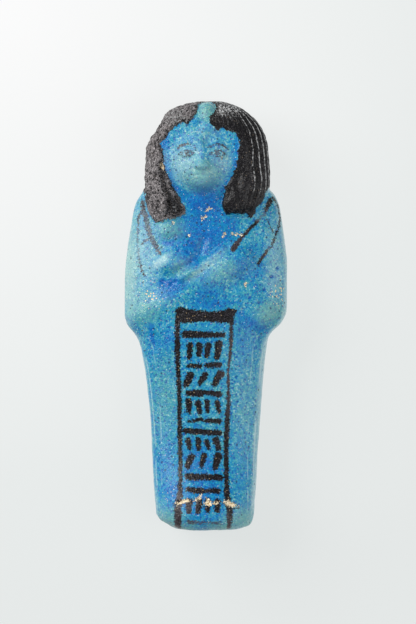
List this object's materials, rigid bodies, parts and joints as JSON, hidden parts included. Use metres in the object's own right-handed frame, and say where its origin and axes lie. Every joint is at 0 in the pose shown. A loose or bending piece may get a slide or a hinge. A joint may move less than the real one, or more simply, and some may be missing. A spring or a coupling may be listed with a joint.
{
  "type": "ushabti figurine",
  "caption": "Small mummy-shaped tomb figure in moulded blue faience, with a black wig, crossed arms and a painted column on its legs, lying on its back.",
  "frame": {"origin": "on the plane the figure lies on, under the middle of its length and width", "axes": "+Y from the feet towards the crown, +Z out of the chest and face, +X towards the viewer's right when looking at the face"},
  "size_m": [0.0438, 0.115, 0.0218],
  "materials": {
    "blue_faience": "satin alkaline glaze, mottled turquoise to cobalt blue, with manganese-black paint on the wig and the painted lines"
  },
  "bodies": {
    "root": {"figurine": "blue_faience"}
  },
  "joints": []
}
